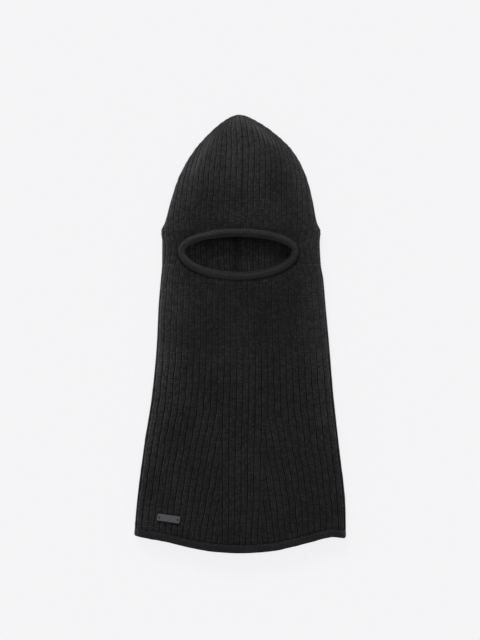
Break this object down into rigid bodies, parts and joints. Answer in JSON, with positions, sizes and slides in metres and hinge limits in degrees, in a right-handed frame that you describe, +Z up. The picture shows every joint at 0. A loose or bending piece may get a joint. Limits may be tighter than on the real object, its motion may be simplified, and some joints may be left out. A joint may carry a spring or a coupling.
{
  "type": "balaclava",
  "caption": "Rib-knit balaclava laid flat: pointed hood, long flared neck, oval face opening with a rolled trim, smooth hem and a small blank plate.",
  "frame": {"origin": "under the middle of the garment, on the surface that it lies on", "axes": "+Y along the garment from hem to crown, +Z up out of the front, +X across, to the right as seen from above"},
  "size_m": [0.2434, 0.5044, 0.0195],
  "materials": {
    "rib_knit": "matte black wool rib knit with a soft halo of fuzz",
    "smooth_knit": "matte black plain knit, tubular, of the same yarn",
    "linking_yarn": "matte black chain-stitched yarn",
    "label_plate": "satin gunmetal grey, blank"
  },
  "bodies": {
    "root": {"hood_front": "rib_knit", "neck_front": "rib_knit", "gusset_left": "rib_knit", "gusset_right": "rib_knit", "back_panel": "rib_knit", "hem_front": "smooth_knit", "hem_back": "smooth_knit", "eye_trim": "smooth_knit", "trim_linking": "linking_yarn", "side_seam_left": "linking_yarn", "side_seam_right": "linking_yarn", "crown_seam": "linking_yarn", "front_label": "label_plate", "label_stitch_left": "linking_yarn", "label_stitch_right": "linking_yarn"}
  },
  "joints": []
}
